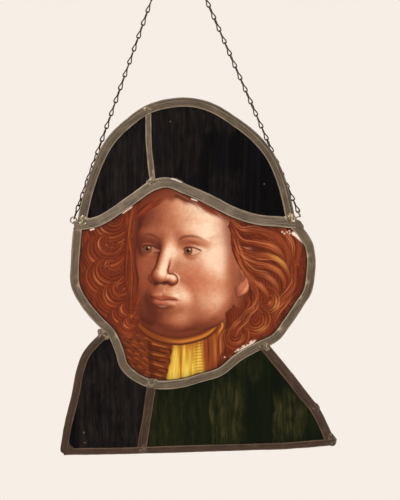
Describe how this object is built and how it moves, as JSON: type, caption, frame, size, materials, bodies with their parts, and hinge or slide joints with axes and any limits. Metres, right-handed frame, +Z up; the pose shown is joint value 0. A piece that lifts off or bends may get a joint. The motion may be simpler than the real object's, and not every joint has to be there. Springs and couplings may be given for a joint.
{
  "type": "hanging stained glass window panel",
  "caption": "Leaded stained glass panel in the outline of a head and shoulders under a wide hat, with a painted head pane, hung from a ring on jack chain.",
  "frame": {"origin": "inner top of the hanging ring, where a nail or hook would hold it", "axes": "+Z up, -Y towards the viewer in front of the painted side, +X to the viewer's right"},
  "size_m": [0.2484, 0.0113, 0.4808],
  "materials": {
    "lead": "dull lead with a soft grey-olive patina",
    "dark_lead": "dull lead with a darker brown patina",
    "black_glass": "near-black glass with faint upright streaks",
    "green_glass": "very dark green glass with ripples",
    "painted_glass": "glass with a fired painting in flesh, rust and gold tones",
    "tinned_wire": "tinned wire under solder",
    "chain_brass": "darkened brass wire"
  },
  "bodies": {
    "root": {"came_hat_brim": "lead", "came_hat_arch": "lead", "came_hat_divider": "lead", "came_head_surround": "lead", "came_bottom": "dark_lead", "came_shoulder_left": "dark_lead", "came_shoulder_right_upper": "dark_lead", "came_shoulder_right_lower": "dark_lead", "came_shoulder_divider": "dark_lead", "hat_pane_left": "black_glass", "hat_pane_right": "black_glass", "shoulder_pane_left": "black_glass", "shoulder_pane_right": "green_glass", "head_pane": "painted_glass", "wire_eye_left": "tinned_wire", "wire_eye_right": "tinned_wire", "chain_left": "chain_brass", "chain_right": "chain_brass", "hanging_ring": "chain_brass"}
  },
  "joints": []
}
